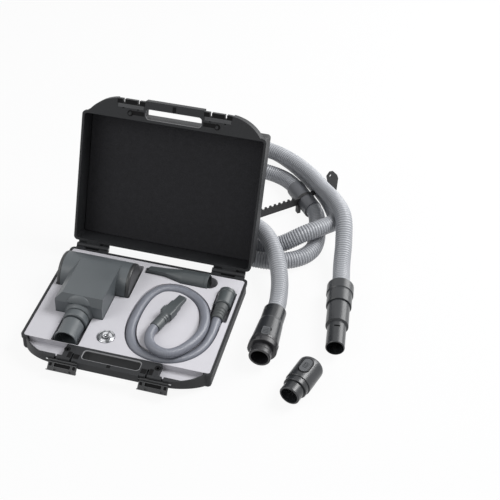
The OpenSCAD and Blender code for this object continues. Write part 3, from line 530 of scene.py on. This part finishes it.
# Stiffening frames on the inner face of each latch, round its finger window and its two small pockets
rib_skin = moulded("latch_rib_plastic", (62, 63, 65), (72, 73, 75), 0.0005, 0.00005, (0.38, 0.5))
rib_inner, rib_outer, rib_wide = -2.6, -1.6, 1.1
rib_low, rib_high = 4.9, 14.2
for body in ("latch_left", "latch_right"):
    hang = latched(body)
    # A near-black web behind the finger window: painted shade in the window
    solid(f"{body}_web", box_of(-17.6, -4.95, 5.4, 17.6, -4.2, 13.9), shade_black_skin, body,
          hang)
    for k, (x0, x1) in enumerate(((-17.9, 17.9), (-28.6, -20.2), (20.2, 28.6))):
        outer = rounded(x0, rib_low, x1, rib_high, 0.8, 2)
        inner = rounded(x0 + rib_wide, rib_low + rib_wide, x1 - rib_wide, rib_high - rib_wide, 0.5, 2)
        rim(f"{body}_frame_{k}", [[(x, y, z) for x, z in outline] for outline, y in (
            (outer, rib_inner), (outer, rib_outer), (inner, rib_outer), (inner, rib_inner))],
            rib_skin, body, hang)
    # Near-black plates in the two small pockets: painted shade in them
    for k, x0 in enumerate((-27.4, 21.4)):
        solid(f"{body}_pocket_{k}", box_of(x0, -2.6, 6.1, x0 + 6, -2.35, 13), shade_black_skin, body,
              hang)


def metal(name, dark, light, rough, stretch=(1, 1, 1)):
    """Metal with drawn or turned marks"""
    finish = Finish(name, metallic=1.0)
    along = finish.node("ShaderNodeMapping", {}, {"Vector": finish.place, "Scale": stretch})
    marks = finish.speckle(0.0004, 3, 0.6, along)
    smudge = finish.speckle(0.01, 4)
    colour = finish.blend(marks, tone(*dark), tone(*light))
    return finish.surface(colour, finish.spread(smudge, 0.3, 0.7, *rough), finish.height(marks, 0.00002))


pin_steel = metal("steel_pin", (150, 151, 153), (188, 189, 190), (0.25, 0.42), (0.05, 1, 1))
for name in ("hinge_pins", "latch_pins"):
    soften(name, 0, pin_steel)


# ---------------------------------------------------------------------------
# Foam insert: closed-cell polyethylene foam in a pale lavender grey, knife-cut
# for each tool; the lid holds a flat charcoal pad of open-cell foam
# ---------------------------------------------------------------------------
channel_radius = 0.0123
channel_floor = 0.018
wall_nearest, wall_furthest = 0.0096, 0.0156
drawn_nearest, drawn_furthest = 0.0098, 0.015
hose_leaves_foam = 0.046


def round_channel(work):
    """Brings the walls of the hose channel from the straight cuts of the solid to the curve of the
    hose itself, at one distance from its middle. What lies nearer or further is left alone."""
    path = [Vector((p.x, p.y)) for p in thin_line[::6] if p.z < hose_leaves_foam]

    def offset(place):
        flat = Vector((place.x, place.y))
        nearest = min(path, key=lambda spot: (spot - flat).length_squared)
        return flat - nearest

    def by_wall(place):
        return wall_nearest < offset(place).length < wall_furthest

    wall = {v for v in work.verts if v.co.z > channel_floor and by_wall(v.co)}
    level = [e for e in work.edges if all(v in wall for v in e.verts) and e.calc_length() > 0.004
             and abs(e.verts[0].co.z - e.verts[1].co.z) < 0.0002
             and by_wall((e.verts[0].co + e.verts[1].co) / 2)]
    bmesh.ops.subdivide_edges(work, edges=level, cuts=4, use_grid_fill=False)
    for vert in work.verts:
        away = offset(vert.co)
        if vert.co.z > channel_floor and drawn_nearest < away.length < drawn_furthest:
            away *= channel_radius / away.length - 1
            vert.co.x += away.x
            vert.co.y += away.y


def foam_copy(name, node_name, material, width):
    """The foam's solid as a piece of its own, with the slightly crushed edges of cut foam"""
    mesh = nodes[node_name].data.copy()
    work = bmesh.new()
    work.from_mesh(mesh)
    bmesh.ops.remove_doubles(work, verts=work.verts, dist=0.00001)
    bmesh.ops.dissolve_limit(work, angle_limit=math.radians(1), verts=work.verts, edges=work.edges)
    if node_name == "base_foam":
        round_channel(work)
    work.to_mesh(mesh)
    work.free()
    mesh.materials.clear()
    mesh.materials.append(material)
    mesh.shade_flat()
    made = bpy.data.objects.new(name, mesh)
    bpy.context.scene.collection.objects.link(made)
    edge = made.modifiers.new("edge", "BEVEL")
    edge.width = width
    edge.segments = 3
    edge.limit_method = "ANGLE"
    edge.angle_limit = math.radians(30)
    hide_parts(node_name)
    return made


pale = Finish("light_foam", specular=0.3)
pale_cloud = pale.speckle(0.09, 4)
pale_pores = pale.cells(0.0011)
pale_grit = pale.speckle(0.0005, 3, 0.7)
pale_colour = pale.blend(pale_cloud, tone(192, 191, 197), tone(205, 204, 209))
pale_colour = pale.blend(pale.spread(pale_pores, 0.0, 0.45, 0.28, 0), pale_colour, tone(168, 167, 174))
pale_colour = pale.blend(pale.spread(pale_grit, 0.6, 0.75, 0, 0.15), pale_colour, tone(226, 226, 228))
pale_bumps = pale.height(pale_pores, 0.00012, pale.height(pale_grit, 0.00006))
pale_skin = pale.surface(pale_colour, 0.85, pale_bumps)
base_foam = foam_copy("foam_insert", "base_foam", pale_skin, 0.0009)
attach(base_foam, "case_and_hose")

charcoal = Finish("dark_foam", specular=0.25)
coal_cloud = charcoal.speckle(0.012, 5, 0.65)
coal_pores = charcoal.cells(0.0016)
coal_flecks = charcoal.speckle(0.0011, 3, 0.7)
coal_colour = charcoal.blend(coal_cloud, tone(38, 38, 40), tone(51, 51, 54))
coal_colour = charcoal.blend(charcoal.spread(coal_pores, 0.0, 0.4, 0.6, 0), coal_colour, tone(20, 20, 22))
coal_shine = charcoal.spread(coal_flecks, 0.58, 0.72, 0, 0.3)
coal_colour = charcoal.blend(coal_shine, coal_colour, tone(84, 84, 88))
coal_skin = charcoal.surface(coal_colour, 0.92, charcoal.height(coal_pores, 0.0003))
lid_foam = foam_copy("lid_foam_pad", "lid_foam", coal_skin, 0.0014)
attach(lid_foam, "lid")

# ---------------------------------------------------------------------------
# Hand turbo brush: an injection-moulded housing in dark grey-green ABS with
# end caps and a sole plate, held by four screws
# ---------------------------------------------------------------------------
tool_skin = moulded("tool_plastic", (78, 83, 86), (89, 94, 97), 0.0005, 0.00003, (0.36, 0.48), 0.1, 0.18)
soften("brush_housing", 0.0012, tool_skin)
for name in ("neck_elbow", "neck_ring", "swivel_sleeve"):
    soften(name, 0.0004, tool_skin)
cap_skin = moulded("cap_plastic", (42, 43, 44), (50, 51, 52), 0.0005, 0.00003, (0.36, 0.48), 0.1, 0.15)
neck_x, neck_y, neck_z = pivot("neck_tilt")
cap_low, cap_high = extent("brush_end_cap_left")
cap_y = middle("brush_end_cap_left")[1]
cap_radius = (cap_high[1] - cap_low[1]) / 2
cap_edge = 75.5
cap_round = 4.4
cap_foot = 14
# Each row of an end cap is how far out it lies and how far it draws in: a step that meets the
# housing, the flat rim, and a generous round along the outer edge
cap_rows = [(72.15, 0.25), (72.5, 0.0), (cap_edge, 0.0)] + [
    (cap_edge + cap_round * math.sin(math.radians(a)), cap_round - cap_round * math.cos(math.radians(a)))
    for a in (15, 30, 45, 60, 75, 90)]
for side, hand in hands.items():
    loops = []
    for out, inset in cap_rows:
        radius, bottom = cap_radius - inset, cap_low[2] + inset
        outline = [(cap_y + radius * math.cos(math.radians(a)),
                    neck_z + radius * math.sin(math.radians(a))) for a in range(0, 181, 9)]
        outline += [(cap_y - radius, bottom + cap_foot), (cap_y - radius, bottom),
                    (cap_y + radius, bottom), (cap_y + radius, bottom + cap_foot)]
        loops.append([(neck_x + side * out, y, z) for y, z in outline[::-side]])
    cap = solid(f"rounded_brush_end_cap_{hand}", loops, cap_skin, "brush", smooth=True)
    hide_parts(f"brush_end_cap_{hand}")

# The swelling over the neck, which runs up into the top edge of the air box. The front of the box is
# upright to a height of 66 mm and then leans back.
box_front = extent("brush_housing")[0][1]
lean_height = 66
cowl_half = 27
cowl_middle = 62
cowl_reach = 22
cowl_root = 1.2
cowl_rows = ((66.5, 2.2), (69.3, 3.3), (72, 3.9), (75, 4.0), (78, 3.5), (80.5, 2.7), (82.3, 1.6),
             (83.4, 0.7))
cowl_loops = []
for z, swell in cowl_rows:
    face = box_front + max(0.0, z - lean_height) / 2
    half = cowl_half * math.sqrt(1 - ((z - cowl_middle) / cowl_reach) ** 2)
    across = [half * i / 8 for i in range(-8, 9)]
    bulge = [face - 0.05 - swell * math.sqrt(max(0, 1 - (x / half) ** 2)) for x in across]
    cowl_loops.append([(neck_x + x, y, z) for x, y in zip(across, bulge)]
                      + [(neck_x + x, face + cowl_root, z) for x in reversed(across)])
solid("neck_cowl", cowl_loops, tool_skin, "brush", smooth=True)

# The ball of the neck joint, a thin dome from the neck ring back into the air box
dome_outer, dome_inner = 33.3, 31.9
dome_half_turn = 122
dome_rows = range(50, 83, 4)
dome_columns = 41
dome_points, dome_faces = [], []
for radius in (dome_outer, dome_inner):
    for polar in dome_rows:
        for k in range(dome_columns):
            turned = math.radians(dome_half_turn * (2 * k / (dome_columns - 1) - 1))
            out = radius * math.sin(math.radians(polar))
            dome_points.append((neck_x + out * math.sin(turned),
                                neck_y - radius * math.cos(math.radians(polar)),
                                neck_z + out * math.cos(turned)))


def dome_face(*corners):
    """A face of the dome from its corners' layer, row and column"""
    dome_faces.append(tuple((layer * len(dome_rows) + j) * dome_columns + k for layer, j, k in corners))


last_row, last_column = len(dome_rows) - 1, dome_columns - 1
for j in range(last_row):
    for k in range(last_column):
        dome_face((0, j, k), (0, j, k + 1), (0, j + 1, k + 1), (0, j + 1, k))
        dome_face((1, j, k), (1, j + 1, k), (1, j + 1, k + 1), (1, j, k + 1))
for k in range(last_column):
    dome_face((0, 0, k + 1), (0, 0, k), (1, 0, k), (1, 0, k + 1))
    dome_face((0, last_row, k), (0, last_row, k + 1), (1, last_row, k + 1), (1, last_row, k))
for j in range(last_row):
    dome_face((0, j, 0), (0, j + 1, 0), (1, j + 1, 0), (1, j, 0))
    dome_face((0, j + 1, last_column), (0, j, last_column), (1, j, last_column), (1, j + 1, last_column))
dome = make_piece("neck_dome", [Vector(p) / 1000 for p in dome_points], dome_faces, tool_skin)
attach(dome, "neck")

# The sole and what turns inside the head: roller, bristles, turbine, belt and brass bushes
soften("brush_sole", 0.0004, moulded("sole_plastic", (60, 63, 66), (70, 73, 76)))
soften("sole_screws", 0.0002, metal("screw_steel", (150, 151, 153), (190, 190, 192), (0.25, 0.4)))
bush_brass = metal("bush_brass", (176, 140, 84), (206, 170, 110), (0.25, 0.4))
for name in ("roller_bushes", "turbine_bearings"):
    soften(name, 0.0002, bush_brass)
soften("brush_roller", 0.0003, moulded("roller_plastic", (70, 72, 74), (84, 86, 88)))
soften("turbine_wheel", 0.0003, moulded("turbine_plastic", (120, 122, 126), (138, 140, 144)))
soften("drive_belt", 0.0002, moulded("belt_rubber", (22, 22, 23), (30, 30, 31), rough=(0.6, 0.75)))
soften("roller_bristles", 0.0, moulded("bristle_nylon", (20, 20, 22), (30, 30, 32)))

# ---------------------------------------------------------------------------
# Crevice nozzle and detail nozzle: injection-moulded in a hard dark plastic. The
# detail nozzle is pushed onto the thin hose and steps down to a flat mouth.
# ---------------------------------------------------------------------------
nozzle_skin = moulded("nozzle_plastic", (63, 68, 70), (74, 79, 81), 0.0005, 0.00003, (0.38, 0.5), 0.08)
soften("crevice_nozzle", 0.0006, nozzle_skin, angle=35)
nozzle_start = (57, -59, 48.5)
nozzle_heading = math.radians(74)
nozzle_sides = 28


def at_nozzle(along, across, z):
    """A point from its distance along the detail nozzle, its distance to the right and its height"""
    return (nozzle_start[0] + along * math.cos(nozzle_heading) + across * math.sin(nozzle_heading),
            nozzle_start[1] + along * math.sin(nozzle_heading) - across * math.cos(nozzle_heading), z)


def nozzle_loop(along, wide, high, square):
    """A loop round the detail nozzle, from its distance along it, half width, half height and
    squareness, which is 1 for an oval and less for a squarer outline"""
    loop = []
    for k in range(nozzle_sides):
        angle = math.tau * k / nozzle_sides
        c, n = math.cos(angle), math.sin(angle)
        loop.append(at_nozzle(along, wide * math.copysign(abs(c) ** square, c),
                              nozzle_start[2] + high * math.copysign(abs(n) ** square, n)))
    return loop


nozzle_rows = (
    (0, 9.8, 9.8, 1), (0.2, 11.6, 11.0, 1), (1.2, 12.2, 11.2, 1), (21, 12.2, 11.2, 1), (22, 10.6, 10.2, 1),
    (24.5, 10.6, 10.2, 1), (25.3, 12.2, 11.2, 1), (28.6, 12.2, 11.2, 1), (29.4, 10.6, 10.2, 1),
    (31.6, 10.6, 10.2, 1), (32.4, 12.2, 11.2, 1), (35.6, 12.2, 11.2, 1), (36.4, 10.6, 10.2, 1),
    (39, 11, 10.2, 0.8), (41, 13.4, 10.0, 0.4), (62, 13.4, 9.8, 0.3), (63, 11.6, 8.8, 0.3),
    (80, 11.2, 8.4, 0.3), (81, 9.6, 6.4, 0.3), (105, 9.2, 4.4, 0.3), (105.8, 8.6, 3.9, 0.3),
    (105.8, 7.4, 2.7, 0.3), (88, 7.4, 2.6, 0.3))
nozzle = solid("stepped_detail_nozzle", [nozzle_loop(*row) for row in nozzle_rows], nozzle_skin,
               "detail_hose")
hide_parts("detail_nozzle")
tab_loops = [[at_nozzle(along, across, z) for along, across in (
    (44 + inset, -14.6 + inset), (58 - inset, -14.6 + inset), (58 - inset, -8 - inset),
    (44 + inset, -8 - inset))] for z, inset in ((44, 0), (57.5, 0), (59, 1))]
tab = solid("detail_nozzle_catch", tab_loops, nozzle_skin, "detail_hose")
(thin_line[::8] + [thin_line[-1]])[::-1]

# The soft neck and the turning cuff at the hose's other end
soften("thin_hose_neck", 0.0003, moulded("soft_grip", (62, 65, 66), (72, 75, 76), rough=(0.5, 0.62)))
soften("thin_hose_cuff", 0.0006, nozzle_skin)

# ---------------------------------------------------------------------------
# Disc: a low round of bright metal, turned on a lathe with a rounded edge and two
# shallow grooves, lying in a pocket of the foam
# ---------------------------------------------------------------------------
def turned_piece(name, outline, place, axis, material, body):
    """A turned piece from its closed outline of distance along the axis and radius"""
    sides = 72
    along = Vector(axis).normalized()
    across = along.orthogonal().normalized()
    upward = along.cross(across)
    loops = []
    for k in range(sides):
        angle = math.tau * k / sides
        out = across * math.cos(angle) + upward * math.sin(angle)
        loops.append([Vector(place) + along * a + out * r for a, r in outline])
    faces = [(a, d, c, b) for a, b, c, d in skin(sides, len(outline), closed=True)]
    return fitted(name, loops, faces, material, body, still, True)


chrome = Finish("disc_metal", metallic=1.0)
chrome_place = chrome.node("ShaderNodeMapping", {}, {
    "Vector": chrome.place, "Rotation": (0, 0, 0.6), "Scale": (1.0, 0.28, 1.0)})
chrome_reflection_noise = chrome.speckle(0.007, 2, 0.5, chrome_place)
chrome_lines = chrome.speckle(0.0009, 3, 0.6, chrome_place)
# Stretched light and dark streaks in the base colour: painted reflections on the bright metal
chrome_sheen = chrome.spread(chrome_reflection_noise, 0.4, 0.58)
chrome_colour = chrome.blend(chrome_sheen, tone(116, 118, 121), tone(226, 227, 230))
chrome_scratch = chrome.spread(chrome_lines, 0.5, 0.7, 0, 0.35)
chrome_colour = chrome.blend(chrome_scratch, chrome_colour, tone(60, 62, 66))
disc_skin = chrome.surface(chrome_colour, chrome.spread(chrome_lines, 0.3, 0.7, 0.12, 0.3),
                           chrome.height(chrome_lines, 0.00002))
disc_x, disc_y, _ = middle("metal_disc")
disc_foot = (disc_x, disc_y, extent("metal_disc")[0][2])
disc_outline = [
    (0, 0.01), (0, 17.4), (0.6, 18), (2.4, 18), (3.1, 17.6), (3.4, 17.0), (3.3, 16.2), (2.9, 15.6),
    (2.9, 14.6), (3.7, 13.9), (3.9, 12.8), (3.9, 6.6), (3.5, 6.1), (3.5, 5.4), (3.9, 4.9), (3.9, 0.01)]
disc = turned_piece("turned_disc", disc_outline, disc_foot, (0, 0, 1), disc_skin, "disc")
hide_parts("metal_disc")

# ---------------------------------------------------------------------------
# Connectors: the locking end with its rubber seal, the stepped end, the loose
# adapter, and the coupling and rubber strap on the coils. The fittings are
# injection-moulded in a hard black plastic with a slight gloss.
# ---------------------------------------------------------------------------
connector_skin = moulded("connector_plastic", (33, 35, 38), (43, 45, 48), 0.0005, 0.00003, (0.26, 0.36),
                         0.2, 0.15, 0.4)
collar_skin = moulded("collar_plastic", (28, 28, 31), (38, 38, 41), 0.0005, 0.00003, (0.32, 0.42),
                      0.2, 0.2)
for name in ("locking_sleeve", "stepped_collar", "stepped_tube", "adapter_body", "adapter_spigot"):
    soften(name, 0.0005, connector_skin)
soften("locking_spigot", 0.0005, collar_skin)
soften("hose_coupling", 0.0006, moulded("coupling_plastic", (88, 90, 95), (102, 104, 109), coat=0.15))

# Bayonet lugs round the locking collar, and behind them the dark band round the front edge of the
# sleeve. The rows of a lug give distance from the sleeve's hose end, radius and half its angle.
collar_x, _, collar_z = pivot("locking_end_spin")
sleeve_end = extent("locking_sleeve")[1][1]
lug_rows = ((103.6, 29, 0.13), (104.5, 32, 0.15), (112, 32.2, 0.15), (115.6, 31, 0.13), (116.2, 29, 0.13))
lug_root = 28


def at_collar(radius, angle, depth):
    """A point round the axis of the locking end"""
    return (collar_x + radius * math.cos(angle), sleeve_end - depth, collar_z + radius * math.sin(angle))


for k in range(4):
    lug_middle = math.radians(20 + 90 * k)
    loops = []
    for depth, radius, half in lug_rows:
        arc = [lug_middle - half + 2 * half * i / 4 for i in range(5)]
        loops.append([at_collar(radius, a, depth) for a in arc]
                     + [at_collar(lug_root, a, depth) for a in reversed(arc)])
    solid(f"collar_lug_{k}", loops, collar_skin, "locking_end")
band_outline = [(0, 27.9), (0.4, 28.9), (1.6, 29.1), (2.4, 28.7), (3.2, 28.7), (4, 29.1), (5.6, 29.1),
                (6.2, 28.6), (6.2, 27.9)]
turned_piece("locking_sleeve_band", band_outline, (collar_x, -22.8, collar_z), (0, -1, 0), collar_skin,
             "locking_end")


def bezel(name, place, heading, length, width, corner, bend, lift, body):
    """A narrow raised rim round a press button, bent to the round of its housing, near-black as painted
    shade round the button
    """
    turned = math.radians(heading)

    def set_down(point):
        x, y, z = point
        return (place[0] + x * math.cos(turned) - y * math.sin(turned),
                place[1] + x * math.sin(turned) + y * math.cos(turned), place[2] + z)

    loops = []
    for grow, drop in ((0.6, 0.5), (0.8, 0.0), (2.2, 0.0), (2.6, 0.6)):
        half_length, half_width = length / 2 + grow, width / 2 + grow
        outline = rounded(-half_length, -half_width, half_length, half_width, corner + grow, 6)
        loops.append([(x, y, math.sqrt(max(0, bend ** 2 - y * y)) + lift - drop) for x, y in outline])
    rim(name, loops, shade_black_skin, body, set_down, True)


adapter_middle = (379, -53, 27)
adapter_heading = 254
adapter_reach = 29
adapter_spot = (adapter_middle[0] + adapter_reach * math.cos(math.radians(adapter_heading)),
                adapter_middle[1] + adapter_reach * math.sin(math.radians(adapter_heading)),
                adapter_middle[2])
bezel("adapter_button_rim", adapter_spot, adapter_heading, 36, 18, 8.8, 26.5, 0.5, "adapter")
bezel("lock_button_rim", (collar_x, middle("lock_button")[1], collar_z), 270, 22, 16, 3, 27.6, 0.3,
      "locking_end")
button_skin = moulded("button_plastic", (66, 68, 71), (78, 80, 83), coat=0.1)
for name in ("lock_button", "adapter_button"):
    soften(name, 0.0004, button_skin)
soften("spigot_seal", 0.0002, moulded("seal_rubber", (18, 18, 19), (26, 26, 27), rough=(0.5, 0.65)))
soften("hose_strap", 0.0003, moulded("strap_rubber", (30, 30, 32), (40, 40, 42), rough=(0.45, 0.6)))

# ---------------------------------------------------------------------------
# Floor and light: a plain pale floor, and a soft studio of three square lamps
# under an even sky
# ---------------------------------------------------------------------------
floor_mesh = bpy.data.meshes.new("floor")
floor_mesh.from_pydata([(-6, -6, 0), (6, -6, 0), (6, 8, 0), (-6, 8, 0)], [], [(0, 1, 2, 3)])
floor = bpy.data.objects.new("floor", floor_mesh)
bpy.context.scene.collection.objects.link(floor)
paper = Finish("floor_paper", specular=0.1)
paper_cloud = paper.speckle(0.4, 2)
ground = paper.surface(paper.blend(paper_cloud, tone(208, 208, 210), tone(214, 214, 215)), 0.95)


def looked_at(graph):
    """1 for rays that show a thing rather than light it: the camera's and those in reflections"""
    total = graph.node("ShaderNodeLightPath", output="Is Camera Ray")
    seen = total.socket.node
    for ray in ("Is Glossy Ray", "Is Transmission Ray"):
        total = graph.node("ShaderNodeMath", {"operation": "ADD", "use_clamp": True},
                           {0: total, 1: Wire(graph, seen.outputs[ray])})
    return total


white = (1, 1, 1, 1)
sheet_glow = paper.node("ShaderNodeEmission", {}, {"Color": white, "Strength": 1.0})
lit = paper.node("ShaderNodeMixShader", {}, {
    "Fac": looked_at(paper) * 0.92, 1: Wire(paper, paper.shader.outputs["BSDF"]), 2: sheet_glow})
paper.plug(lit, paper.tree.nodes["Material Output"].inputs["Surface"])
floor_mesh.materials.append(ground)

world = bpy.data.worlds.new("studio")
world.use_nodes = True
sky = Graph(world.node_tree)
daylight = sky.tree.nodes["Background"]
sky.plug(white, daylight.inputs["Color"])
sky.plug(0.38, daylight.inputs["Strength"])
backdrop = sky.node("ShaderNodeBackground", {}, {"Color": white, "Strength": 1.0})
choice = sky.node("ShaderNodeMixShader", {}, {
    "Fac": looked_at(sky), 1: Wire(sky, daylight.outputs["Background"]), 2: backdrop})
sky.plug(choice, sky.tree.nodes["World Output"].inputs["Surface"])
bpy.context.scene.world = world
bpy.context.scene.view_settings.view_transform = "Standard"


def lamp(name, place, aim, size, power):
    """A square soft box"""
    light = bpy.data.lights.new(name, "AREA")
    light.size = size
    light.energy = power
    made = bpy.data.objects.new(name, light)
    made.location = place
    made.rotation_euler = (Vector(aim) - Vector(place)).to_track_quat("-Z", "Y").to_euler()
    bpy.context.scene.collection.objects.link(made)


lamp("key_light", (1.9, 1.0, 2.3), (0.05, 0.15, 0), 1.4, 84)
lamp("rim_light", (1.75, 2.3, 1.0), (0.2, 0.0, 0.03), 1.5, 30)
lamp("fill_light", (-1.5, -1.3, 1.8), (-0.15, 0.0, 0), 1.6, 20)
